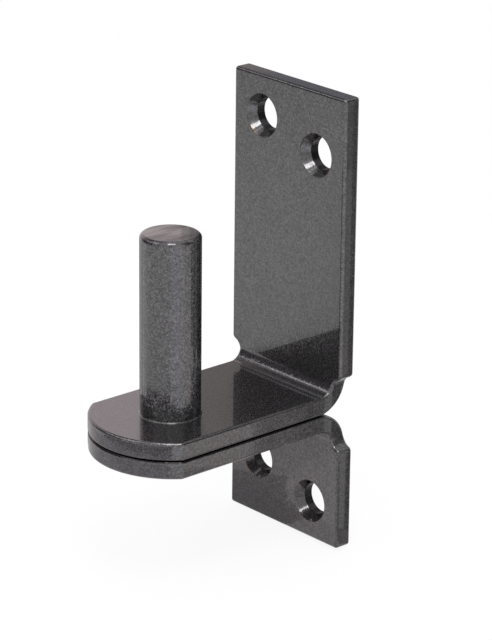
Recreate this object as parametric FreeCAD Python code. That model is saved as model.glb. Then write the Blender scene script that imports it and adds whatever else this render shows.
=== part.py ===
"""Gate hinge pin: a round pin standing on two bent steel plates that screw to a gate post.

The upper plate has a tall leaf and the lower one a short leaf. Their tongues lie face to
face, and the pin's stepped end passes through both and is riveted over underneath.

Frame, in millimetres: the origin is on the pin's axis at the top face of the upper tongue,
where the gate's eye sits. +Z is up along the pin, and +Y points at the post.
"""
import FreeCAD
import Part
import math
import os

# Plate stock, with all its edges rounded
PLATE_THICKNESS = 5.0
EDGE_RADIUS = 0.8

# Tongue, seen from above
PIN_TO_POST = 45.0
NOSE_REACH = 21.3
NOSE_DEPTH = 10.0

# Bend between tongue and leaf, whose outside is eased where the plate is stretched
INNER_BEND_RADIUS = 3.5
OUTER_BEND_EASE = 0.8

# Side notches, where the plate steps in from leaf to tongue
NOTCH_DEPTH = 2.95
SHOULDER_RISE = 5.05

# Leaves, seen from the front
LEAF_WIDTH = 42.8
UPPER_LEAF_REACH = 81.4
LOWER_LEAF_REACH = 33.3

# Corners of the plate's outline, each rounded by this much more than its edges
NOSE_CORNER_EXTRA = 0.7
SHOULDER_CORNER_EXTRA = 0.5
LEAF_CORNER_EXTRA = 0.1

# Screw holes, two in each leaf on a slant
SCREW_HOLE_DIAMETER = 8.6
COUNTERSINK_DIAMETER = 11.8
COUNTERSINK_DEPTH = 2.4
HOLE_RIM_RADIUS = 0.25
HOLE_SPACING = 21.0
HOLE_STAGGER = 6.0
UPPER_HOLES_FROM_END = 14.2
LOWER_HOLES_FROM_END = 13.6

# Pin
PIN_DIAMETER = 16.0
PIN_HEIGHT = 49.0
PIN_TOP_RADIUS = 1.2
SHANK_DIAMETER = 12.0
SHANK_CLEARANCE = 0.1
RIVET_HEAD_DIAMETER = 19.0
RIVET_HEAD_RIM = 0.8
RIVET_HEAD_CROWN = 2.4

# Worked out from the sizes above
LEAF_FRONT = PIN_TO_POST - PLATE_THICKNESS
OUTER_BEND_RADIUS = INNER_BEND_RADIUS + PLATE_THICKNESS + OUTER_BEND_EASE
TONGUE_HALF_WIDTH = LEAF_WIDTH / 2.0 - NOTCH_DEPTH
LOWER_TONGUE_UNDERSIDE = -2.0 * PLATE_THICKNESS
NOSE_CORNER_RADIUS = EDGE_RADIUS + NOSE_CORNER_EXTRA
SHOULDER_CORNER_RADIUS = EDGE_RADIUS + SHOULDER_CORNER_EXTRA
LEAF_CORNER_RADIUS = EDGE_RADIUS + LEAF_CORNER_EXTRA

# Cutters run past what they cut by this much
MARGIN = 10.0

# Angles, in degrees
FULL_TURN = 360.0
HALF_TURN = 180.0
SHARP_ANGLE = 30.0

ORIGIN = FreeCAD.Vector(0, 0, 0)
X_AXIS = FreeCAD.Vector(1, 0, 0)
Y_AXIS = FreeCAD.Vector(0, 1, 0)
Z_AXIS = FreeCAD.Vector(0, 0, 1)


def line(start, end):
    """A straight edge."""
    return Part.LineSegment(start, end).toShape()


def quarter_arc(centre, radius, first, second):
    """A quarter circle about a centre, from one of its radii to the next."""
    middle = FreeCAD.Vector(first + second).normalize()
    start = centre + first * radius
    end = centre + second * radius
    return Part.Arc(start, centre + middle * radius, end).toShape()


def arc_radius(half_chord, rise):
    """Radius of the arc that rises this far over a chord."""
    return (half_chord ** 2 + rise ** 2) / (2.0 * rise)


def side_outline(reach):
    """The bent plate seen from its side, running past the nose and past the leaf's end."""
    far_out = -NOSE_REACH - MARGIN
    far_up = reach + MARGIN
    down = -Z_AXIS
    inner = FreeCAD.Vector(0, LEAF_FRONT - INNER_BEND_RADIUS, INNER_BEND_RADIUS)
    outer = FreeCAD.Vector(0, PIN_TO_POST - OUTER_BEND_RADIUS, OUTER_BEND_RADIUS - PLATE_THICKNESS)
    top_front = FreeCAD.Vector(0, LEAF_FRONT, far_up)
    top_back = FreeCAD.Vector(0, PIN_TO_POST, far_up)
    tongue_under = FreeCAD.Vector(0, far_out, -PLATE_THICKNESS)
    tongue_over = FreeCAD.Vector(0, far_out, 0)
    edges = [
        line(tongue_under, outer + down * OUTER_BEND_RADIUS),
        quarter_arc(outer, OUTER_BEND_RADIUS, down, Y_AXIS),
        line(outer + Y_AXIS * OUTER_BEND_RADIUS, top_back),
        line(top_back, top_front),
        line(top_front, inner + Y_AXIS * INNER_BEND_RADIUS),
        quarter_arc(inner, INNER_BEND_RADIUS, Y_AXIS, down),
        line(inner + down * INNER_BEND_RADIUS, tongue_over),
        line(tongue_over, tongue_under),
    ]
    return Part.Face(Part.Wire(edges))


def half_front_outline(reach, side):
    """Edges of one half of the plate seen from the front, from its foot to the leaf's top."""
    across = X_AXIS * side
    leaf_side = across * (LEAF_WIDTH / 2.0)
    tongue_side = across * TONGUE_HALF_WIDTH
    foot = Z_AXIS * -(PLATE_THICKNESS + MARGIN)
    notch = leaf_side + Z_AXIS * (SHOULDER_RISE - NOTCH_DEPTH)
    top = Z_AXIS * reach
    return [
        line(foot, tongue_side + foot),
        line(tongue_side + foot, notch - across * NOTCH_DEPTH),
        quarter_arc(notch, NOTCH_DEPTH, -across, Z_AXIS),
        line(notch + Z_AXIS * NOTCH_DEPTH, leaf_side + top),
        line(leaf_side + top, top),
    ]


def front_outline(reach):
    """The plate seen from the front: leaf, shoulders, notches and tongue."""
    right = half_front_outline(reach, 1.0)
    left = half_front_outline(reach, -1.0)
    return Part.Face(Part.Wire(Part.__sortEdges__(right + left)))


def nose_keeper(reach):
    """A prism with the plate's outline from above, whose nose is a shallow arc."""
    radius = arc_radius(TONGUE_HALF_WIDTH, NOSE_DEPTH)
    centre_y = radius - NOSE_REACH
    height = reach + PLATE_THICKNESS + 2.0 * MARGIN
    low = -PLATE_THICKNESS - MARGIN
    half = radius + LEAF_WIDTH
    body_start = FreeCAD.Vector(-half, centre_y, low)
    body = Part.makeBox(2.0 * half, PIN_TO_POST + MARGIN - centre_y, height, body_start)
    nose = Part.makeCylinder(radius, height, FreeCAD.Vector(0, centre_y, low), Z_AXIS)
    return body.fuse(nose)


def runs_along(edge, axis):
    """True for a straight edge along the given axis."""
    if not isinstance(edge.Curve, Part.Line):
        return False
    return abs(edge.Curve.Direction.dot(axis)) > math.cos(math.radians(SHARP_ANGLE))


def middle_of(edge):
    """The point halfway along an edge."""
    return edge.valueAt((edge.FirstParameter + edge.LastParameter) / 2.0)


def round_corners(plate, reach):
    """Rounds the outline's corners: at the nose, at the shoulders and at the leaf's end."""
    nose = []
    shoulders = []
    leaf_end = []
    for edge in plate.Edges:
        place = middle_of(edge)
        if runs_along(edge, Z_AXIS) and place.y < 0.0 and abs(place.z) < PLATE_THICKNESS:
            nose.append(edge)
        if runs_along(edge, Y_AXIS) and abs(place.x) > TONGUE_HALF_WIDTH + NOTCH_DEPTH / 2.0:
            at_end = place.z > reach / 2.0
            (leaf_end if at_end else shoulders).append(edge)
    plate = plate.makeFillet(NOSE_CORNER_RADIUS, nose)
    plate = plate.makeFillet(SHOULDER_CORNER_RADIUS, same_edges(plate, shoulders))
    return plate.makeFillet(LEAF_CORNER_RADIUS, same_edges(plate, leaf_end))


def same_edges(shape, wanted):
    """The crossways edges of a shape that lie where the wanted ones lay."""
    near = PLATE_THICKNESS / 2.0
    found = []
    for edge in shape.Edges:
        gaps = [middle_of(edge).distanceToPoint(middle_of(old)) for old in wanted]
        if runs_along(edge, Y_AXIS) and min(gaps) < near:
            found.append(edge)
    return found


def face_normal(face, point):
    """The outward normal of a face at a point on it."""
    u, v = face.Surface.parameter(point)
    return face.normalAt(u, v)


def sharp_edges(shape):
    """Every edge where two faces meet at an angle."""
    limit = math.cos(math.radians(SHARP_ANGLE))
    found = []
    for edge in shape.Edges:
        faces = shape.ancestorsOfType(edge, Part.Face)
        if len(faces) != 2:
            continue
        place = middle_of(edge)
        if face_normal(faces[0], place).dot(face_normal(faces[1], place)) < limit:
            found.append(edge)
    return found


def screw_places(height):
    """Centres of a leaf's two screw holes on its front face, one each side of this height."""
    left = FreeCAD.Vector(-HOLE_SPACING / 2.0, LEAF_FRONT, height + HOLE_STAGGER / 2.0)
    right = FreeCAD.Vector(HOLE_SPACING / 2.0, LEAF_FRONT, height - HOLE_STAGGER / 2.0)
    return [left, right]


def screw_hole_cutter(place):
    """A countersunk screw hole, cut from the leaf's front face to its back."""
    hole = SCREW_HOLE_DIAMETER / 2.0
    rim = COUNTERSINK_DIAMETER / 2.0
    bore = Part.makeCylinder(hole, PLATE_THICKNESS + 2.0 * MARGIN, place - Y_AXIS * MARGIN, Y_AXIS)
    cone = Part.makeCone(rim, hole, COUNTERSINK_DEPTH, place, Y_AXIS)
    return bore.fuse(cone)


def hole_rims(shape):
    """The round edges where the screw holes break the leaf's two faces."""
    return [
        edge for edge in sharp_edges(shape)
        if isinstance(edge.Curve, Part.Circle)
        and abs(edge.Curve.Axis.dot(Y_AXIS)) > math.cos(math.radians(SHARP_ANGLE))
        and (abs(edge.Curve.Center.y - LEAF_FRONT) < HOLE_RIM_RADIUS
             or abs(edge.Curve.Center.y - PIN_TO_POST) < HOLE_RIM_RADIUS)
    ]


def bent_bracket(reach, holes_from_end):
    """A bent plate whose leaf stands up from its tongue, with all its holes."""
    width = LEAF_WIDTH + 2.0 * MARGIN
    depth = NOSE_REACH + PIN_TO_POST + 2.0 * MARGIN
    side = side_outline(reach)
    side.translate(X_AXIS * (-width / 2.0))
    front = front_outline(reach)
    front.translate(Y_AXIS * -(NOSE_REACH + MARGIN))
    plate = side.extrude(X_AXIS * width).common(front.extrude(Y_AXIS * depth))
    plate = plate.common(nose_keeper(reach)).removeSplitter()
    plate = round_corners(plate, reach)
    plate = plate.makeFillet(EDGE_RADIUS, sharp_edges(plate))
    for place in screw_places(reach - holes_from_end):
        plate = plate.cut(screw_hole_cutter(place))
    plate = plate.makeFillet(HOLE_RIM_RADIUS, hole_rims(plate))
    return plate.cut(shank_hole_cutter())


def shank_hole_cutter():
    """The hole through a tongue for the pin's stepped end."""
    radius = SHANK_DIAMETER / 2.0 + SHANK_CLEARANCE
    height = PLATE_THICKNESS + 2.0 * MARGIN
    return Part.makeCylinder(radius, height, Z_AXIS * -(PLATE_THICKNESS + MARGIN), Z_AXIS)


def upper_bracket():
    """The plate with the tall leaf, standing up from the tongue that the gate's eye sits on."""
    return bent_bracket(UPPER_LEAF_REACH, UPPER_HOLES_FROM_END)


def lower_bracket():
    """The plate with the short leaf, turned over under the upper tongue."""
    plate = bent_bracket(LOWER_LEAF_REACH, LOWER_HOLES_FROM_END)
    plate.rotate(ORIGIN, Y_AXIS, HALF_TURN)
    plate.translate(Z_AXIS * LOWER_TONGUE_UNDERSIDE)
    return plate


def dome_arc(rim_point, crown):
    """The rivet head's shallow underside, from its rim to the lowest point on the axis."""
    radius = arc_radius(rim_point.x, RIVET_HEAD_CROWN)
    half_angle = math.asin(rim_point.x / radius) / 2.0
    aim = X_AXIS * math.sin(half_angle) - Z_AXIS * math.cos(half_angle)
    centre = crown + Z_AXIS * radius
    return Part.Arc(rim_point, centre + aim * radius, crown).toShape()


def pin():
    """The pin: a turned bar with a rounded top, a shoulder, a shank and a riveted head."""
    body = X_AXIS * (PIN_DIAMETER / 2.0)
    shank = X_AXIS * (SHANK_DIAMETER / 2.0)
    head = X_AXIS * (RIVET_HEAD_DIAMETER / 2.0)
    under = Z_AXIS * LOWER_TONGUE_UNDERSIDE
    rim_foot = under - Z_AXIS * RIVET_HEAD_RIM
    crown = rim_foot - Z_AXIS * RIVET_HEAD_CROWN
    top = Z_AXIS * PIN_HEIGHT
    top_centre = top + body - (X_AXIS + Z_AXIS) * PIN_TOP_RADIUS
    edges = [
        line(crown, top),
        line(top, top_centre + Z_AXIS * PIN_TOP_RADIUS),
        quarter_arc(top_centre, PIN_TOP_RADIUS, Z_AXIS, X_AXIS),
        line(top_centre + X_AXIS * PIN_TOP_RADIUS, body),
        line(body, shank),
        line(shank, shank + under),
        line(shank + under, head + under),
        line(head + under, head + rim_foot),
        dome_arc(head + rim_foot, crown),
    ]
    return Part.Face(Part.Wire(edges)).revolve(ORIGIN, Z_AXIS, FULL_TURN)


def main():
    """Builds the three pieces and writes each to its own file."""
    os.makedirs("parts", exist_ok=True)
    upper_bracket().exportStep("parts/upper_bracket.step")
    lower_bracket().exportStep("parts/lower_bracket.step")
    pin().exportStep("parts/pin.step")


main()
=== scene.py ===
"""Looks of the gate hinge pin: graphite sparkle powder coat over a pin and two bent plates.

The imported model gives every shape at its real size. This script coats the three steel
pieces, adds the bead of coating that gathers round the pin's foot, and sets up the floor,
the soft boxes, the cards that the coat mirrors and the camera. Lengths are in metres, in
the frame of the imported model.
"""

import logging
import math
from dataclasses import dataclass
from enum import Enum

import bmesh
import bpy
from mathutils import Matrix, Vector


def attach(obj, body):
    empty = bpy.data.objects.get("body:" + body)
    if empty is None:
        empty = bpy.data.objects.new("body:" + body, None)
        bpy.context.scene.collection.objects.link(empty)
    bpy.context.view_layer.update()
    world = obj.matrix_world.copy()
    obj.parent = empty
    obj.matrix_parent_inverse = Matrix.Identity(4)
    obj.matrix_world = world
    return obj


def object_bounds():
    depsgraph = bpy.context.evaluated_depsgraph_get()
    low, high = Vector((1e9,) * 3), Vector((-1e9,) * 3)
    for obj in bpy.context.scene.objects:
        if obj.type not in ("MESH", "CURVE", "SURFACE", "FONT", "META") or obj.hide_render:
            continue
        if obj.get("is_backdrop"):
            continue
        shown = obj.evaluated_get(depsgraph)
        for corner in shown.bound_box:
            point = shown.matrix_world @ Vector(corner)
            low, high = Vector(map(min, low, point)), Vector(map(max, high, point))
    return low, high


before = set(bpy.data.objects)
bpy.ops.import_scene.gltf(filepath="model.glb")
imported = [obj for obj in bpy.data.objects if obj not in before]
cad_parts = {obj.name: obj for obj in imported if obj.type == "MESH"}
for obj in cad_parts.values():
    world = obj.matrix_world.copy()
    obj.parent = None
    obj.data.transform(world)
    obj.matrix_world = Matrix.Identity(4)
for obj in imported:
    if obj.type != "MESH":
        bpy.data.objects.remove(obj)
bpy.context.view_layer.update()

LOG = logging.getLogger("gate_hinge_pin")
ROOT_BODY = "root"
MM = 0.001
MIDDLE = 0.5
SEAM_HEIGHT = -5.0 * MM

Colour = tuple[float, float, float, float]
Socket = bpy.types.NodeSocket


class Lamp(Enum):
    """The soft boxes round the part, by their place in the studio."""

    ABOVE_CAMERA = "above_camera"
    LEFT = "left"
    OVERHEAD = "overhead"


def tint(red: float, green: float, blue: float) -> Colour:
    """A colour with full alpha, from its linear red, green and blue."""
    return (red, green, blue, 1.0)


def grey(level: float) -> Colour:
    """A neutral grey of this linear brightness."""
    return tint(level, level, level)


def compass(azimuth: float, elevation: float) -> Vector:
    """The unit direction towards a place in the studio.

    Args:
        azimuth: Degrees round the part, where 0 is in front of the pin and 90 is along +X.
        elevation: Degrees above the horizon.

    Returns:
        A direction of length one.
    """
    around = math.radians(azimuth)
    above = math.radians(elevation)
    level = math.cos(above)
    return Vector((math.sin(around) * level, -math.cos(around) * level, math.sin(above)))


class Wiring:
    """A small helper that adds nodes to one node tree and joins them."""

    def __init__(self, tree: bpy.types.NodeTree) -> None:
        """Keeps the tree that the nodes go into."""
        self.tree = tree

    def node(self, kind: str, **settings: object) -> bpy.types.Node:
        """Adds a node and sets its properties.

        Args:
            kind: The node's type name without its ShaderNode prefix.
            **settings: Properties of the node and their values.

        Returns:
            The new node.
        """
        made = self.tree.nodes.new("ShaderNode" + kind)
        for name, value in settings.items():
            setattr(made, name, value)
        return made

    def join(self, source: Socket, target: Socket) -> None:
        """Joins an output to an input."""
        self.tree.links.new(source, target)

    def feed(self, value: object, target: Socket) -> None:
        """Joins a socket to an input, or sets the input's own value.

        Args:
            value: The socket, or the value.
            target: The input.
        """
        if isinstance(value, Socket):
            self.join(value, target)
        else:
            target.default_value = value

    def maths(self, operation: str, *values: object) -> Socket:
        """Adds a Math node.

        Args:
            operation: The operation's name.
            *values: A socket or a number for each input.

        Returns:
            The result's socket.
        """
        made = self.node("Math", operation=operation)
        for index, value in enumerate(values):
            self.feed(value, made.inputs[index])
        return made.outputs["Value"]

    def vectors(self, operation: str, *values: object) -> bpy.types.Node:
        """Adds a Vector Math node.

        Args:
            operation: The operation's name.
            *values: A socket or a vector for each input.

        Returns:
            The new node.
        """
        made = self.node("VectorMath", operation=operation)
        for index, value in enumerate(values):
            self.feed(value, made.inputs[index])
        return made

    def lessen(self, value: object, mask: Socket, share: float) -> Socket:
        """Lowers a number by a share of itself where a mask is one.

        Args:
            value: The number, or its socket.
            mask: Where it is lowered.
            share: How much of it goes there.

        Returns:
            The lowered number.
        """
        kept = self.maths("MULTIPLY_ADD", mask, -share, 1.0)
        return self.maths("MULTIPLY", value, kept)

    def darken(self, colour: Socket, mask: Socket, share: float) -> Socket:
        """Darkens a colour by a share of itself where a mask is one.

        Args:
            colour: The colour to darken.
            mask: Where it is darkened.
            share: How much of it goes there.

        Returns:
            The darkened colour.
        """
        darker = self.vectors("SCALE", colour)
        self.join(self.lessen(1.0, mask, share), darker.inputs["Scale"])
        return darker.outputs["Vector"]

    def smooth_rise(self, value: Socket, start: object, end: object) -> Socket:
        """Lets a number rise smoothly from zero to one between two limits.

        Args:
            value: The number that is looked at.
            start: The limit below which the result is zero.
            end: The limit above which the result is one.

        Returns:
            The result's socket.
        """
        rise = self.node("MapRange", interpolation_type="SMOOTHSTEP")
        self.join(value, rise.inputs["Value"])
        self.feed(start, rise.inputs["From Min"])
        self.feed(end, rise.inputs["From Max"])
        return rise.outputs["Result"]

    def noise(self, place: Socket, scale: object) -> Socket:
        """Adds smooth noise.

        Args:
            place: Where the surface lies.
            scale: How many swells there are to the metre.

        Returns:
            The noise, round a half.
        """
        made = self.node("TexNoise")
        self.join(place, made.inputs["Vector"])
        self.feed(scale, made.inputs["Scale"])
        return made.outputs["Fac"]

    def tone(self, draw: Socket, spread: Socket) -> Socket:
        """Turns a draw between zero and one into a tone round one.

        Args:
            draw: The draw.
            spread: How far the tone may leave one.

        Returns:
            The tone.
        """
        centred = self.maths("SUBTRACT", draw, MIDDLE)
        swing = self.maths("MULTIPLY", centred, spread)
        return self.maths("MULTIPLY_ADD", swing, 1.0 / MIDDLE, 1.0)


class EffectGroup:
    """A shader node group that materials share, with named inputs and outputs."""

    title: str = "effect"

    def __init__(self) -> None:
        """Makes the empty group, its sockets and its inner nodes."""
        self.tree = bpy.data.node_groups.new(self.title, "ShaderNodeTree")
        self.wires = Wiring(self.tree)
        self.takes("Place", "Vector")
        self.declare()
        self.inlet = self.tree.nodes.new("NodeGroupInput").outputs
        self.outlet = self.tree.nodes.new("NodeGroupOutput").inputs
        self.wire()

    def declare(self) -> None:
        raise NotImplementedError

    def wire(self) -> None:
        """Adds the group's inner nodes."""
        raise NotImplementedError

    def takes(self, name: str, kind: str = "Float") -> None:
        """Declares an input: a Float or a Vector."""
        self.tree.interface.new_socket(name, in_out="INPUT", socket_type="NodeSocket" + kind)

    def gives(self, name: str, kind: str = "Float") -> None:
        """Declares an output: a Float or a Vector."""
        self.tree.interface.new_socket(name, in_out="OUTPUT", socket_type="NodeSocket" + kind)

    def coordinates(self) -> bpy.types.NodeOutputs:
        """Splits the place on the surface.

        Returns:
            The sockets of X, Y and Z.
        """
        split = self.wires.node("SeparateXYZ")
        self.wires.join(self.inlet["Place"], split.inputs["Vector"])
        return split.outputs

    def place(self, wires: Wiring, where: Socket, **values: object) -> bpy.types.NodeOutputs:
        """Places the group in a material.

        Args:
            wires: The material's wiring.
            where: The place on the surface.
            **values: Other input values, with underscores for the spaces in their names.

        Returns:
            The group's outputs.
        """
        made = wires.node("Group", node_tree=self.tree)
        wires.join(where, made.inputs["Place"])
        for name, value in values.items():
            wires.feed(value, made.inputs[name.replace("_", " ")])
        return made.outputs


class FlakeSpeckle(EffectGroup):
    """Metal flakes in the powder: each cell of the surface has its own tone and tilt."""

    title: str = "flake_speckle"

    def declare(self) -> None:
        """Declares how fine the flakes are and how much they differ."""
        self.takes("Flakes Per Metre")
        self.takes("Tone Spread")
        self.takes("Tilt")
        self.gives("Tone")
        self.gives("Tilted Normal", "Vector")

    def wire(self) -> None:
        """Draws a random tone and a random tilt for each cell."""
        wires = self.wires
        cells = wires.node("TexVoronoi", feature="F1", voronoi_dimensions="3D")
        wires.join(self.inlet["Place"], cells.inputs["Vector"])
        wires.join(self.inlet["Flakes Per Metre"], cells.inputs["Scale"])
        draw = wires.node("SeparateColor")
        wires.join(cells.outputs["Color"], draw.inputs["Color"])
        tone = wires.tone(draw.outputs["Red"], self.inlet["Tone Spread"])
        wires.join(tone, self.outlet["Tone"])
        spread = wires.vectors("SUBTRACT", cells.outputs["Color"], (MIDDLE, MIDDLE, MIDDLE))
        leaned = wires.vectors("SCALE", spread.outputs["Vector"])
        wires.join(self.inlet["Tilt"], leaned.inputs["Scale"])
        geometry = wires.node("NewGeometry")
        tilted = wires.vectors("ADD", geometry.outputs["Normal"], leaned.outputs["Vector"])
        unit = wires.vectors("NORMALIZE", tilted.outputs["Vector"])
        wires.join(unit.outputs["Vector"], self.outlet["Tilted Normal"])


class CoatDrift(EffectGroup):
    """Slow drift in the coat's tone, as powder lies thicker in one place than in the next."""

    title: str = "coat_drift"

    def declare(self) -> None:
        self.takes("Patches Per Metre")
        self.takes("Strength")
        self.gives("Tone")

    def wire(self) -> None:
        """Turns smooth noise into a tone round one."""
        noise = self.wires.noise(self.inlet["Place"], self.inlet["Patches Per Metre"])
        tone = self.wires.tone(noise, self.inlet["Strength"])
        self.wires.join(tone, self.outlet["Tone"])


@dataclass(frozen=True)
class HoleSizes:
    """Sizes of the screw holes that the hole masks follow, and of the bare patches."""

    spacing: float = 21.0 * MM
    stagger: float = 6.0 * MM
    bore_radius: float = 4.3 * MM
    sink_radius: float = 5.9 * MM
    sink_depth: float = 2.3 * MM
    leaf_front: float = 40.0 * MM
    rim_width: float = 0.22 * MM
    face_depth: float = 0.3 * MM
    patches_per_metre: float = 260.0
    covered_below: float = 0.46
    bare_above: float = 0.66


class HoleWearAndShade(EffectGroup):
    """Masks of a leaf's two screw holes: painted shade in the bores, the bare rims and the holes' insides."""

    title: str = "hole_wear_and_shade"

    def __init__(self, sizes: HoleSizes) -> None:
        """Keeps the holes' sizes and makes the group."""
        self.sizes = sizes
        super().__init__()

    def declare(self) -> None:
        """Declares how high the pair of holes sits."""
        self.takes("Height")
        self.gives("Painted Bore Shade")
        self.gives("Rim")
        self.gives("Hole")

    def distance(self, across_leaf: Socket, up_leaf: Socket) -> Socket:
        """Measures how far the surface lies from the nearer hole's axis.

        Args:
            across_leaf: The place across the leaf.
            up_leaf: The place up the leaf, from the middle between the holes.

        Returns:
            The distance's socket.
        """
        wires = self.wires
        half_pitch = math.hypot(self.sizes.spacing, self.sizes.stagger) / 2.0
        lean = math.atan2(self.sizes.stagger, -self.sizes.spacing)
        along_x = wires.maths("MULTIPLY", across_leaf, math.cos(lean))
        along = wires.maths("MULTIPLY_ADD", up_leaf, math.sin(lean), along_x)
        across_x = wires.maths("MULTIPLY", across_leaf, -math.sin(lean))
        across = wires.maths("MULTIPLY_ADD", up_leaf, math.cos(lean), across_x)
        beside = wires.maths("SUBTRACT", wires.maths("ABSOLUTE", along), half_pitch)
        square = wires.maths("MULTIPLY", beside, beside)
        return wires.maths("SQRT", wires.maths("MULTIPLY_ADD", across, across, square))

    def wire(self) -> None:
        """Sets the masks by the distance to the nearer axis and the depth into the leaf."""
        wires = self.wires
        sizes = self.sizes
        spot = self.coordinates()
        height = wires.maths("SUBTRACT", spot["Z"], self.inlet["Height"])
        distance = self.distance(spot["X"], height)
        sink_floor = sizes.leaf_front + sizes.sink_depth
        # The bore mask carries painted shade into the bores
        in_bore = wires.maths("LESS_THAN", distance, sizes.bore_radius + sizes.rim_width)
        deep = wires.maths("GREATER_THAN", spot["Y"], sink_floor)
        wires.join(wires.maths("MULTIPLY", in_bore, deep), self.outlet["Painted Bore Shade"])
        on_rim = wires.maths("COMPARE", distance, sizes.sink_radius, sizes.rim_width)
        shallow = wires.maths("LESS_THAN", spot["Y"], sink_floor)
        noise = wires.noise(self.inlet["Place"], sizes.patches_per_metre)
        patches = wires.smooth_rise(noise, sizes.covered_below, sizes.bare_above)
        bare = wires.maths("MULTIPLY", on_rim, shallow)
        wires.join(wires.maths("MULTIPLY", bare, patches), self.outlet["Rim"])
        inside = wires.maths("LESS_THAN", distance, sizes.sink_radius)
        sunk = wires.maths("GREATER_THAN", spot["Y"], sizes.leaf_front + sizes.face_depth)
        wires.join(wires.maths("MULTIPLY", inside, sunk), self.outlet["Hole"])


class CapMarks(EffectGroup):
    """Saw marks under the coat of the pin's end, which run from front to back."""

    title: str = "cap_marks"
    clear_below: float = 0.35
    marked_above: float = 0.65

    def declare(self) -> None:
        """Declares where the end begins, how fine the marks are and how long they run."""
        self.takes("Height")
        self.takes("Marks Per Metre")
        self.takes("Stretch")
        self.gives("Cap")
        self.gives("Mark")

    def wire(self) -> None:
        """Stretches smooth noise into marks and keeps them to the pin's end."""
        wires = self.wires
        spot = self.coordinates()
        cap = wires.maths("GREATER_THAN", spot["Z"], self.inlet["Height"])
        wires.join(cap, self.outlet["Cap"])
        drawn = wires.node("CombineXYZ")
        wires.join(spot["X"], drawn.inputs["X"])
        long_way = wires.maths("MULTIPLY", spot["Y"], self.inlet["Stretch"])
        wires.join(long_way, drawn.inputs["Y"])
        noise = wires.noise(drawn.outputs["Vector"], self.inlet["Marks Per Metre"])
        marks = wires.smooth_rise(noise, self.clear_below, self.marked_above)
        wires.join(wires.maths("MULTIPLY", marks, cap), self.outlet["Mark"])


class SeamShade(EffectGroup):
    """A mask of painted shade along the narrow seam where the two tongues meet."""

    title: str = "seam_shade"

    def declare(self) -> None:
        """Declares where the seam is and how far the shade reaches."""
        self.takes("Height")
        self.takes("Full Within")
        self.takes("Gone Beyond")
        self.gives("Seam")

    def wire(self) -> None:
        """Lets the shade fall off with the distance to the seam's plane."""
        wires = self.wires
        offset = wires.maths("SUBTRACT", self.coordinates()["Z"], self.inlet["Height"])
        away = wires.maths("ABSOLUTE", offset)
        lit = wires.smooth_rise(away, self.inlet["Full Within"], self.inlet["Gone Beyond"])
        wires.join(wires.maths("SUBTRACT", 1.0, lit), self.outlet["Seam"])


@dataclass(frozen=True)
class Effects:
    """The shared shader effects."""

    flakes: FlakeSpeckle
    drift: CoatDrift
    holes: HoleWearAndShade
    marks: CapMarks
    seam: SeamShade


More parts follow.
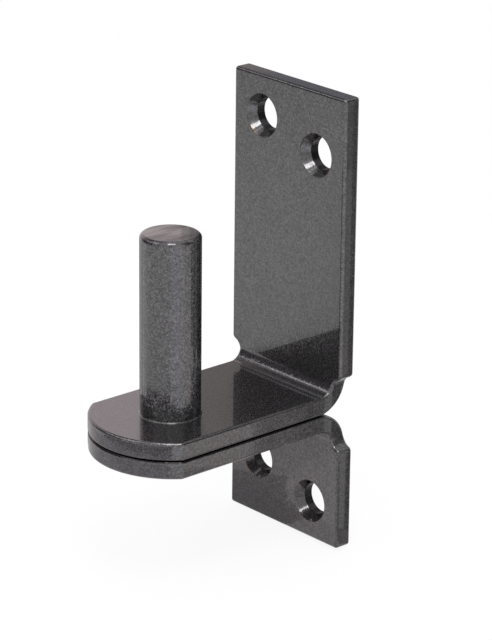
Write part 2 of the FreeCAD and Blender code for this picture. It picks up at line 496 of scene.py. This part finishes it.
@dataclass(frozen=True)
class SparkleCoat:
    """Graphite powder coat: dark metal flakes under a clear, smooth top."""

    name: str
    colour: Colour = tint(0.059, 0.056, 0.059)
    metallic: float = 0.75
    grazing_tint: Colour = grey(0.6)
    roughness: float = 0.27
    roughness_spread: float = 0.1
    flakes_per_metre: float = 2500.0
    tone_spread: float = 0.5
    tilt: float = 0.18
    drift_per_metre: float = 120.0
    drift_strength: float = 0.12
    top_roughness: float = 0.06
    top_ior: float = 1.5
    hole_height: float | None = None
    # Painted shade in the bores: how much it darkens them and thins their clear coat
    bore_painted_shade: float = 0.7
    bore_shade_coat_cut: float = 0.7
    rim_colour: Colour = tint(0.16, 0.09, 0.055)
    rim_wear: float = 0.6
    hole_calm: float = 0.7
    # Painted shade along the seam between the tongues: where it lies, how far it reaches, and how much it
    # darkens the colour and thins the clear coat
    seam_height: float | None = None
    seam_full: float = 0.25 * MM
    seam_gone: float = 0.6 * MM
    seam_painted_shade: float = 0.9
    seam_shade_coat_cut: float = 0.9
    cap_height: float | None = None
    cap_calm: float = 0.7
    marks_per_metre: float = 330.0
    mark_stretch: float = 0.2
    mark_thinness: float = 0.55

    def build(self, effects: Effects) -> bpy.types.Material:
        """Builds the material.

        Args:
            effects: The shared shader effects.

        Returns:
            The new material.
        """
        material = bpy.data.materials.new(self.name)
        material.use_nodes = True
        wires = Wiring(material.node_tree)
        inputs = material.node_tree.nodes["Principled BSDF"].inputs
        where = wires.node("TexCoord").outputs["Object"]
        tilt: object = self.tilt
        weight: object = 1.0
        holes = None
        if self.hole_height is not None:
            holes = effects.holes.place(wires, where, Height=self.hole_height)
            tilt = wires.lessen(self.tilt, holes["Hole"], self.hole_calm)
        if self.cap_height is not None:
            end = self.place_marks(wires, where, effects)
            tilt = wires.lessen(self.tilt, end["Cap"], self.cap_calm)
            weight = wires.lessen(weight, end["Mark"], self.mark_thinness)
        flakes = effects.flakes.place(
            wires,
            where,
            Flakes_Per_Metre=self.flakes_per_metre,
            Tone_Spread=self.tone_spread,
            Tilt=tilt,
        )
        colour = self.speckled(wires, where, effects, flakes["Tone"])
        if holes is not None:
            colour = self.bare_rims(wires, holes["Rim"], colour)
            # Painted shade: the bores are darkened and their clear coat thinned
            colour = wires.darken(colour, holes["Painted Bore Shade"], self.bore_painted_shade)
            weight = wires.lessen(weight, holes["Painted Bore Shade"], self.bore_shade_coat_cut)
        if self.seam_height is not None:
            # Painted shade: the seam between the tongues is darkened and its clear coat thinned
            seam_shade_mask = self.place_seam_shade(wires, where, effects)
            colour = wires.darken(colour, seam_shade_mask, self.seam_painted_shade)
            weight = wires.lessen(weight, seam_shade_mask, self.seam_shade_coat_cut)
        wires.join(colour, inputs["Base Color"])
        wires.feed(weight, inputs["Coat Weight"])
        swing = wires.maths("SUBTRACT", flakes["Tone"], 1.0)
        spread = wires.maths("MULTIPLY", swing, self.roughness_spread)
        wires.join(wires.maths("SUBTRACT", self.roughness, spread), inputs["Roughness"])
        wires.join(flakes["Tilted Normal"], inputs["Normal"])
        inputs["Metallic"].default_value = self.metallic
        inputs["Specular Tint"].default_value = self.grazing_tint
        inputs["Coat Roughness"].default_value = self.top_roughness
        inputs["Coat IOR"].default_value = self.top_ior
        return material

    def speckled(self, wires: Wiring, where: Socket, effects: Effects, flake_tone: Socket) -> Socket:
        """Gives the coat's colour the tones of its flakes and of its slow drift.

        Args:
            wires: The material's wiring.
            where: The place on the surface.
            effects: The shared shader effects.
            flake_tone: The flakes' tone.

        Returns:
            The coat's colour.
        """
        drift = effects.drift.place(
            wires, where, Patches_Per_Metre=self.drift_per_metre, Strength=self.drift_strength
        )
        tone = wires.maths("MULTIPLY", flake_tone, drift["Tone"])
        tinted = wires.vectors("SCALE", self.colour[:3])
        wires.join(tone, tinted.inputs["Scale"])
        return tinted.outputs["Vector"]

    def place_marks(self, wires: Wiring, where: Socket, effects: Effects) -> bpy.types.NodeOutputs:
        """Places the saw marks of the pin's end.

        Args:
            wires: The material's wiring.
            where: The place on the surface.
            effects: The shared shader effects.

        Returns:
            The sockets of the end's mask and of its marks.
        """
        return effects.marks.place(
            wires,
            where,
            Height=self.cap_height,
            Marks_Per_Metre=self.marks_per_metre,
            Stretch=self.mark_stretch,
        )

    def place_seam_shade(self, wires: Wiring, where: Socket, effects: Effects) -> Socket:
        """Places the painted shade along the seam between the tongues.

        Args:
            wires: The material's wiring.
            where: The place on the surface.
            effects: The shared shader effects.

        Returns:
            The mask of the painted seam shade.
        """
        return effects.seam.place(
            wires,
            where,
            Height=self.seam_height,
            Full_Within=self.seam_full,
            Gone_Beyond=self.seam_gone,
        )["Seam"]

    def bare_rims(self, wires: Wiring, rim: Socket, colour: Socket) -> Socket:
        """Lets the steel show a little at the countersinks' rims.

        Args:
            wires: The material's wiring.
            rim: The mask of the bare rims.
            colour: The coat's colour.

        Returns:
            The colour with the bare rims.
        """
        worn = wires.node("Mix", data_type="RGBA")
        wires.join(wires.maths("MULTIPLY", rim, self.rim_wear), worn.inputs["Factor"])
        wires.join(colour, worn.inputs["A"])
        worn.inputs["B"].default_value = self.rim_colour
        return worn.outputs["Result"]


def paint(obj: bpy.types.Object, material: bpy.types.Material) -> None:
    """Gives an object this one material."""
    obj.data.materials.clear()
    obj.data.materials.append(material)


def show(obj: bpy.types.Object) -> None:
    """Puts an object into the scene."""
    bpy.context.scene.collection.objects.link(obj)


@dataclass
class Plates:
    """The two bent plates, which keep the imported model's shapes."""

    upper: str = "upper_bracket"
    lower: str = "lower_bracket"
    upper_coat: SparkleCoat = SparkleCoat("upper_coat", hole_height=67.2 * MM, seam_height=SEAM_HEIGHT)
    lower_coat: SparkleCoat = SparkleCoat("lower_coat", hole_height=-29.7 * MM, seam_height=SEAM_HEIGHT)

    def dress(self, effects: Effects) -> list[bpy.types.Object]:
        """Coats both plates.

        Args:
            effects: The shared shader effects.

        Returns:
            The dressed objects.
        """
        plates = []
        for name, coat in ((self.upper, self.upper_coat), (self.lower, self.lower_coat)):
            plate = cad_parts[name]
            paint(plate, coat.build(effects))
            plates.append(plate)
        return plates


@dataclass
class PinWithBead:
    """The pin, and the bead of coating that gathers in the corner round its foot."""

    node: str = "pin"
    radius: float = 8.0 * MM
    bead_height: float = 0.32 * MM
    bead_width: float = 0.32 * MM
    sunk: float = 0.05 * MM
    steps_around: int = 128
    steps_across: int = 8
    coat: SparkleCoat = SparkleCoat("pin_coat", tone_spread=0.6, tilt=0.35, cap_height=47.7 * MM)
    bead_coat: SparkleCoat = SparkleCoat("bead_coat", tone_spread=0.15, tilt=0.1)

    def bead_section(self) -> list[tuple[float, float]]:
        """The bead's section as radius and height, from the pin's wall round to the tongue.

        Returns:
            Points of a closed outline, whose outer side is a hollow quarter circle.
        """
        points = []
        for step in range(self.steps_across + 1):
            angle = math.radians(90.0) * step / self.steps_across
            out = self.radius + self.bead_width * (1.0 - math.cos(angle))
            up = self.bead_height * (1.0 - math.sin(angle))
            points.append((out, up))
        points.append((self.radius + self.bead_width, -self.sunk))
        points.append((self.radius - self.sunk, -self.sunk))
        points.append((self.radius - self.sunk, self.bead_height))
        return points

    def build_bead(self) -> bpy.types.Object:
        """Turns the bead's section round the pin.

        Returns:
            The bead, riding on the part.
        """
        section = self.bead_section()
        work = bmesh.new()
        rings = []
        for step in range(self.steps_around):
            spin = Matrix.Rotation(math.tau * step / self.steps_around, 3, "Z")
            rings.append([work.verts.new(spin @ Vector((out, 0.0, up))) for out, up in section])
        for step, ring in enumerate(rings):
            following = rings[(step + 1) % self.steps_around]
            for index in range(len(section)):
                after = (index + 1) % len(section)
                work.faces.new((ring[index], following[index], following[after], ring[after]))
        bmesh.ops.recalc_face_normals(work, faces=work.faces)
        mesh = bpy.data.meshes.new("foot_bead")
        work.to_mesh(mesh)
        work.free()
        mesh.polygons.foreach_set("use_smooth", [True] * len(mesh.polygons))
        bead = bpy.data.objects.new("foot_bead", mesh)
        show(bead)
        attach(bead, ROOT_BODY)
        return bead

    def dress(self, effects: Effects) -> list[bpy.types.Object]:
        """Coats the pin and makes its bead.

        Args:
            effects: The shared shader effects.

        Returns:
            The pin and the bead.
        """
        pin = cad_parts[self.node]
        paint(pin, self.coat.build(effects))
        bead = self.build_bead()
        paint(bead, self.bead_coat.build(effects))
        return [pin, bead]


@dataclass(frozen=True)
class SoftBox:
    """A soft box that faces the part."""

    place: Lamp
    azimuth: float
    elevation: float
    distance: float
    size: float
    power: float

    def build(self, centre: Vector) -> bpy.types.Object:
        """Makes the lamp.

        Args:
            centre: The point that the lamp faces.

        Returns:
            The lamp's object.
        """
        data = bpy.data.lights.new(self.place.value, "AREA")
        data.shape = "SQUARE"
        data.size = self.size
        data.energy = self.power
        lamp = bpy.data.objects.new(self.place.value, data)
        away = compass(self.azimuth, self.elevation)
        lamp.location = centre + away * self.distance
        lamp.rotation_mode = "QUATERNION"
        lamp.rotation_quaternion = away.to_track_quat("Z", "Y")
        show(lamp)
        return lamp


@dataclass(frozen=True)
class Arc:
    """The reach of a card round the part, in degrees of azimuth."""

    start: float
    end: float

    def turns(self, step: float) -> list[float]:
        """Divides the arc into even parts.

        Args:
            step: About how many degrees a part has.

        Returns:
            The azimuths from the arc's start to its end.
        """
        reach = self.end - self.start
        count = max(1, round(reach / step))
        return [self.start + reach * index / count for index in range(count + 1)]


class Section:
    """The section of a card, which is swept round the pin's axis."""

    def ends(self, level: float) -> tuple[tuple[float, float], tuple[float, float]]:
        """The section's two ends, each as a radius and a height.

        Args:
            level: The height of the cards that lie on the floor.

        Returns:
            The first end and the second.
        """
        raise NotImplementedError


@dataclass(frozen=True)
class Standing(Section):
    """The section of a card that stands upright."""

    radius: float
    bottom: float
    top: float

    def ends(self, level: float) -> tuple[tuple[float, float], tuple[float, float]]:
        """The foot and the top of the card, whatever the floor's level is."""
        return ((self.radius, self.bottom), (self.radius, self.top))


@dataclass(frozen=True)
class Lying(Section):
    """The section of a card that lies just over the floor."""

    inner: float
    outer: float

    def ends(self, level: float) -> tuple[tuple[float, float], tuple[float, float]]:
        """The inner and the outer edge of the card, at the floor's level."""
        return ((self.inner, level), (self.outer, level))


@dataclass(frozen=True)
class MirrorCard:
    """A curved card of even brightness that shows only in the part's reflections."""

    name: str
    arc: Arc
    section: Section
    glow: Colour
    facet_degrees: float = 3.0

    def build(self, level: float) -> bpy.types.Object:
        """Sweeps the card's section round the pin's axis.

        Args:
            level: The height of the cards that lie on the floor.

        Returns:
            The card, marked as stage.
        """
        points = []
        for azimuth in self.arc.turns(self.facet_degrees):
            away = compass(azimuth, 0.0)
            for radius, height in self.section.ends(level):
                points.append((away.x * radius, away.y * radius, height))
        faces = [(n, n + 1, n + 3, n + 2) for n in range(0, len(points) - 2, 2)]
        mesh = bpy.data.meshes.new(self.name)
        mesh.from_pydata(points, [], faces)
        card = bpy.data.objects.new(self.name, mesh)
        paint(card, self.material())
        card.visible_camera = False
        card.visible_diffuse = False
        card.visible_shadow = False
        show(card)
        card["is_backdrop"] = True
        return card

    def material(self) -> bpy.types.Material:
        """Makes the card's even glow.

        Returns:
            The card's material.
        """
        material = bpy.data.materials.new(self.name)
        material.use_nodes = True
        wires = Wiring(material.node_tree)
        glow = wires.node("Emission")
        glow.inputs["Color"].default_value = self.glow
        output = material.node_tree.nodes["Material Output"]
        wires.join(glow.outputs["Emission"], output.inputs["Surface"])
        return material


# Azimuths in degrees at which cards begin or end
LEFT_BACK_TURN = -104.0
LEFT_TURN = -72.0
WINDOW_TURN = -67.0
FRONT_START = -48.0
FRONT_END = 50.0
SIDE_TURN = 130.3
PIN_TURN = 137.0
STRIP_START = 147.4
STRIP_SPLIT = 149.3
BACK_TURN = 186.0
CAP_MID_START = 227.8
CAP_MID_END = 228.7
SHADE_START = 180.0
SHADE_END = 238.0
WHOLE_TURN = 360.0

# Radii at which cards stand, begin or end
FOOT_EDGE = 0.029
RING_EDGE = 0.05
STRIP_WALL = 0.06
SIDE_EDGE = 0.096
POST_EDGE = 0.106
FRONT_EDGE = 0.1175
PIN_EDGE = 0.155
NEAR_WALL = 0.16
FLOOR_EDGE = 0.30
WINDOW_WALL = 0.44
FAR_WALL = 0.45

# Heights at which cards begin or end
STRIP_FOOT = -0.0436
FAR_FOOT = -0.043
NEAR_FOOT = -0.038
STRIP_LOW_TOP = -0.005
STRIP_MID_TOP = 0.058
STRIP_TOP = 0.078
CAP_LOW = 0.085
CAP_HIGH = 0.115


@dataclass
class Studio:
    """The pale floor, the white surround, the soft boxes and the cards."""

    floor_drop: float = 1.0 * MM
    floor_half: float = 3.0
    floor_colour: Colour = grey(0.82)
    floor_whitening: float = 0.9
    surround_light: float = 1.0
    card_lift: float = 0.5 * MM
    lamps: tuple[SoftBox, ...] = (
        SoftBox(Lamp.ABOVE_CAMERA, azimuth=54.0, elevation=58.0, distance=1.0, size=0.36, power=4.0),
        SoftBox(Lamp.LEFT, azimuth=-20.0, elevation=48.0, distance=1.0, size=0.30, power=1.0),
        SoftBox(Lamp.OVERHEAD, azimuth=20.0, elevation=85.0, distance=1.2, size=0.5, power=1.0),
    )
    cards: tuple[MirrorCard, ...] = (
        # Behind on the right, for the leaves' right sides
        MirrorCard(
            name="wall_card",
            arc=Arc(start=131.0, end=152.0),
            section=Standing(radius=NEAR_WALL, bottom=NEAR_FOOT, top=0.06),
            glow=tint(0.34, 0.32, 0.32),
        ),
        MirrorCard(
            name="side_top_light_card",
            arc=Arc(start=STRIP_START, end=STRIP_SPLIT),
            section=Standing(radius=STRIP_WALL, bottom=STRIP_MID_TOP, top=STRIP_TOP),
            glow=grey(0.44),
        ),
        MirrorCard(
            name="side_light_card",
            arc=Arc(start=STRIP_START, end=STRIP_SPLIT),
            section=Standing(radius=STRIP_WALL, bottom=STRIP_LOW_TOP, top=STRIP_MID_TOP),
            glow=grey(0.69),
        ),
        MirrorCard(
            name="side_low_light_card",
            arc=Arc(start=STRIP_START, end=STRIP_SPLIT),
            section=Standing(radius=STRIP_WALL, bottom=STRIP_FOOT, top=STRIP_LOW_TOP),
            glow=grey(0.96),
        ),
        MirrorCard(
            name="side_shade_card",
            arc=Arc(start=STRIP_SPLIT, end=151.6),
            section=Standing(radius=STRIP_WALL, bottom=STRIP_FOOT, top=STRIP_TOP),
            glow=grey(0.14),
        ),
        MirrorCard(
            name="dark_card",
            arc=Arc(start=104.0, end=146.0),
            section=Standing(radius=0.50, bottom=0.05, top=0.70),
            glow=grey(0.12),
        ),
        # Behind, for the tops of the tongue, the pin and the upper leaf
        MirrorCard(
            name="dim_card",
            arc=Arc(start=BACK_TURN, end=229.2),
            section=Standing(radius=NEAR_WALL, bottom=NEAR_FOOT, top=CAP_LOW),
            glow=tint(0.40, 0.36, 0.35),
        ),
        MirrorCard(
            name="cap_card",
            arc=Arc(start=BACK_TURN, end=CAP_MID_START),
            section=Standing(radius=NEAR_WALL, bottom=CAP_LOW, top=CAP_HIGH),
            glow=tint(0.42, 0.38, 0.365),
        ),
        MirrorCard(
            name="cap_mid_card",
            arc=Arc(start=CAP_MID_START, end=CAP_MID_END),
            section=Standing(radius=NEAR_WALL, bottom=CAP_LOW, top=CAP_HIGH),
            glow=tint(0.72, 0.63, 0.64),
        ),
        MirrorCard(
            name="cap_left_card",
            arc=Arc(start=CAP_MID_END, end=246.0),
            section=Standing(radius=NEAR_WALL, bottom=CAP_LOW, top=CAP_HIGH),
            glow=tint(1.25, 1.09, 1.10),
        ),
        MirrorCard(
            name="leaf_top_card",
            arc=Arc(start=BACK_TURN, end=229.4),
            section=Standing(radius=NEAR_WALL, bottom=CAP_HIGH, top=0.20),
            glow=tint(0.22, 0.23, 0.27),
        ),
        MirrorCard(
            name="rosy_card",
            arc=Arc(start=229.5, end=290.0),
            section=Standing(radius=FAR_WALL, bottom=FAR_FOOT, top=0.45),
            glow=tint(1.04, 0.91, 0.95),
        ),
        # On the left, for the pin, the bends and the screw holes
        MirrorCard(
            name="horizon_card",
            arc=Arc(start=-80.0, end=-20.0),
            section=Standing(radius=FAR_WALL, bottom=FAR_FOOT, top=0.295),
            glow=tint(0.14, 0.13, 0.14),
        ),
        MirrorCard(
            name="window_card",
            arc=Arc(start=WINDOW_TURN, end=-57.0),
            section=Standing(radius=WINDOW_WALL, bottom=0.315, top=0.396),
            glow=tint(2.8, 2.8, 2.9),
        ),
        MirrorCard(
            name="left_window_card",
            arc=Arc(start=-55.0, end=-32.0),
            section=Standing(radius=WINDOW_WALL, bottom=0.36, top=0.44),
            glow=tint(4.5, 4.5, 4.7),
        ),
        MirrorCard(
            name="high_card",
            arc=Arc(start=-118.0, end=WINDOW_TURN),
            section=Standing(radius=FAR_WALL, bottom=0.37, top=0.90),
            glow=grey(0.05),
        ),
        # On the floor round the pin's axis, for the upright faces: painted floor light and shade, seen only
        # in reflections
        MirrorCard(
            name="foot_card",
            arc=Arc(start=0.0, end=WHOLE_TURN),
            section=Lying(inner=0.0, outer=FOOT_EDGE),
            glow=tint(1.05, 1.0, 1.02),
        ),
        MirrorCard(
            name="foot_ring",
            arc=Arc(start=SHADE_END - WHOLE_TURN, end=SHADE_START),
            section=Lying(inner=FOOT_EDGE, outer=RING_EDGE),
            glow=tint(0.90, 0.86, 0.88),
        ),
        MirrorCard(
            name="foot_shade",
            arc=Arc(start=SHADE_START, end=SHADE_END),
            section=Lying(inner=FOOT_EDGE, outer=RING_EDGE),
            glow=tint(0.5, 0.48, 0.49),
        ),
        # On the floor to the right and behind: painted floor light and shade, seen only in reflections
        MirrorCard(
            name="right_card",
            arc=Arc(start=85.0, end=SIDE_TURN),
            section=Lying(inner=RING_EDGE, outer=SIDE_EDGE),
            glow=tint(0.58, 0.56, 0.56),
        ),
        MirrorCard(
            name="side_card",
            arc=Arc(start=112.0, end=SIDE_TURN),
            section=Lying(inner=SIDE_EDGE, outer=0.20),
            glow=tint(1.3, 1.22, 1.2),
        ),
        MirrorCard(
            name="side_far_card",
            arc=Arc(start=SIDE_TURN, end=PIN_TURN),
            section=Lying(inner=POST_EDGE, outer=PIN_EDGE),
            glow=tint(0.50, 0.49, 0.49),
        ),
        MirrorCard(
            name="post_card",
            arc=Arc(start=SIDE_TURN, end=168.0),
            section=Lying(inner=RING_EDGE, outer=POST_EDGE),
            glow=tint(0.46, 0.45, 0.45),
        ),
        MirrorCard(
            name="pin_floor_card",
            arc=Arc(start=PIN_TURN, end=165.0),
            section=Lying(inner=POST_EDGE, outer=PIN_EDGE),
            glow=grey(0.20),
        ),
        MirrorCard(
            name="pin_wall_card",
            arc=Arc(start=142.0, end=157.0),
            section=Standing(radius=PIN_EDGE, bottom=STRIP_FOOT, top=0.0),
            glow=grey(0.15),
        ),
        # On the floor in front and to the left: painted floor light and shade, seen only in reflections
        MirrorCard(
            name="front_card",
            arc=Arc(start=FRONT_START, end=FRONT_END),
            section=Lying(inner=RING_EDGE, outer=FRONT_EDGE),
            glow=tint(0.88, 0.84, 0.88),
        ),
        MirrorCard(
            name="nose_card",
            arc=Arc(start=FRONT_START, end=FRONT_END),
            section=Lying(inner=FRONT_EDGE, outer=0.14),
            glow=tint(0.20, 0.18, 0.20),
        ),
        MirrorCard(
            name="left_near_card",
            arc=Arc(start=LEFT_TURN, end=FRONT_START),
            section=Lying(inner=RING_EDGE, outer=0.117),
            glow=tint(0.68, 0.66, 0.67),
        ),
        MirrorCard(
            name="left_card",
            arc=Arc(start=LEFT_BACK_TURN, end=LEFT_TURN),
            section=Lying(inner=RING_EDGE, outer=FLOOR_EDGE),
            glow=tint(0.68, 0.66, 0.67),
        ),
        MirrorCard(
            name="back_card",
            arc=Arc(start=-175.0, end=LEFT_BACK_TURN),
            section=Lying(inner=0.09, outer=0.40),
            glow=grey(0.08),
        ),
        MirrorCard(
            name="bright_card",
            arc=Arc(start=FRONT_END, end=102.0),
            section=Lying(inner=0.119, outer=FLOOR_EDGE),
            glow=tint(1.5, 1.5, 1.6),
        ),
    )

    def seen_directly(self, wires: Wiring, kinds: tuple[str, ...]) -> Socket:
        """A mask of the rays that show the background as it is.

        Args:
            wires: The node tree's wiring.
            kinds: The Light Path outputs that count.

        Returns:
            A socket that is one for those rays.
        """
        path = wires.node("LightPath")
        mask = path.outputs[kinds[0]]
        for kind in kinds[1:]:
            mask = wires.maths("MAXIMUM", mask, path.outputs[kind])
        return mask

    def build_surround(self) -> bpy.types.World:
        """Makes the world: white where it is seen or mirrored, and plain light elsewhere.

        Returns:
            The scene's world.
        """
        world = bpy.data.worlds.new("white_surround")
        world.use_nodes = True
        wires = Wiring(world.node_tree)
        background = world.node_tree.nodes["Background"]
        background.inputs["Color"].default_value = grey(1.0)
        kinds = ("Is Camera Ray", "Is Glossy Ray", "Is Transmission Ray")
        mask = self.seen_directly(wires, kinds)
        rise = wires.maths("MULTIPLY", mask, 1.0 - self.surround_light)
        strength = wires.maths("ADD", rise, self.surround_light)
        wires.join(strength, background.inputs["Strength"])
        bpy.context.scene.world = world
        return world

    def floor_material(self) -> bpy.types.Material:
        """A matt pale floor that the camera sees nearly white, with the part's shadow kept.

        Returns:
            The floor's material, which is clear from below.
        """
        material = bpy.data.materials.new("pale_floor")
        material.use_nodes = True
        wires = Wiring(material.node_tree)
        shader = material.node_tree.nodes["Principled BSDF"]
        shader.inputs["Base Color"].default_value = self.floor_colour
        shader.inputs["Roughness"].default_value = 1.0
        shader.inputs["Specular IOR Level"].default_value = 0.0
        glow = wires.node("Emission")
        glow.inputs["Color"].default_value = grey(1.0)
        mask = self.seen_directly(wires, ("Is Camera Ray",))
        lifted = wires.node("MixShader")
        wires.join(wires.maths("MULTIPLY", mask, self.floor_whitening), lifted.inputs["Fac"])
        wires.join(shader.outputs["BSDF"], lifted.inputs[1])
        wires.join(glow.outputs["Emission"], lifted.inputs[2])
        clear = wires.node("BsdfTransparent")
        one_sided = wires.node("MixShader")
        geometry = wires.node("NewGeometry")
        wires.join(geometry.outputs["Backfacing"], one_sided.inputs["Fac"])
        wires.join(lifted.outputs["Shader"], one_sided.inputs[1])
        wires.join(clear.outputs["BSDF"], one_sided.inputs[2])
        output = material.node_tree.nodes["Material Output"]
        wires.join(one_sided.outputs["Shader"], output.inputs["Surface"])
        return material

    def build_floor(self, height: float) -> bpy.types.Object:
        """Makes the floor.

        Args:
            height: The floor's height.

        Returns:
            The floor, marked as stage.
        """
        half = self.floor_half
        corners = [(-half, -half, height), (half, -half, height), (half, half, height), (-half, half, height)]
        mesh = bpy.data.meshes.new("floor")
        mesh.from_pydata(corners, [], [(0, 1, 2, 3)])
        floor = bpy.data.objects.new("floor", mesh)
        paint(floor, self.floor_material())
        show(floor)
        floor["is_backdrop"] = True
        return floor

    def build(self, low: Vector, high: Vector) -> None:
        """Makes the whole studio round the part.

        Args:
            low: The lowest corner of the part's box.
            high: The highest corner of the part's box.
        """
        floor_height = low.z - self.floor_drop
        self.build_surround()
        self.build_floor(floor_height)
        for lamp in self.lamps:
            lamp.build((low + high) / 2.0)
        for card in self.cards:
            card.build(floor_height + self.card_lift)


@dataclass(frozen=True)
class Viewpoint:
    """Where the photograph was taken from, found by fitting the part's edges to it."""

    azimuth: float = 48.354
    elevation: float = 20.160
    roll: float = -0.626
    distance: float = 0.801427
    aim: tuple[float, float, float] = (3.711 * MM, 22.599 * MM, 21.201 * MM)
    lens: float = 172.927
    nearest: float = 0.05
    farthest: float = 20.0

    def build(self) -> bpy.types.Object:
        """Makes the camera.

        Returns:
            The scene's camera.
        """
        data = bpy.data.cameras.new("photo_camera")
        data.lens = self.lens
        data.clip_start = self.nearest
        data.clip_end = self.farthest
        back = compass(self.azimuth, self.elevation)
        around = math.radians(self.azimuth)
        level_right = Vector((math.cos(around), math.sin(around), 0.0))
        level_up = back.cross(level_right)
        tip = math.radians(self.roll)
        right = level_right * math.cos(tip) - level_up * math.sin(tip)
        up = level_right * math.sin(tip) + level_up * math.cos(tip)
        camera = bpy.data.objects.new("photo_camera", data)
        camera.location = Vector(self.aim) + back * self.distance
        camera.rotation_mode = "QUATERNION"
        camera.rotation_quaternion = Matrix((right, up, back)).transposed().to_quaternion()
        show(camera)
        bpy.context.scene.camera = camera
        return camera


def main() -> None:
    """Dresses the part, then builds the studio and the camera."""
    logging.basicConfig(level=logging.INFO, format="%(message)s")
    bpy.context.scene.view_settings.view_transform = "Standard"
    effects = Effects(FlakeSpeckle(), CoatDrift(), HoleWearAndShade(HoleSizes()), CapMarks(), SeamShade())
    for assembly in (Plates(), PinWithBead()):
        for piece in assembly.dress(effects):
            LOG.info("dressed %s with %s", piece.name, piece.data.materials[0].name)
    low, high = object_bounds()
    Studio().build(low, high)
    Viewpoint().build()


if __name__ == "__main__":
    main()
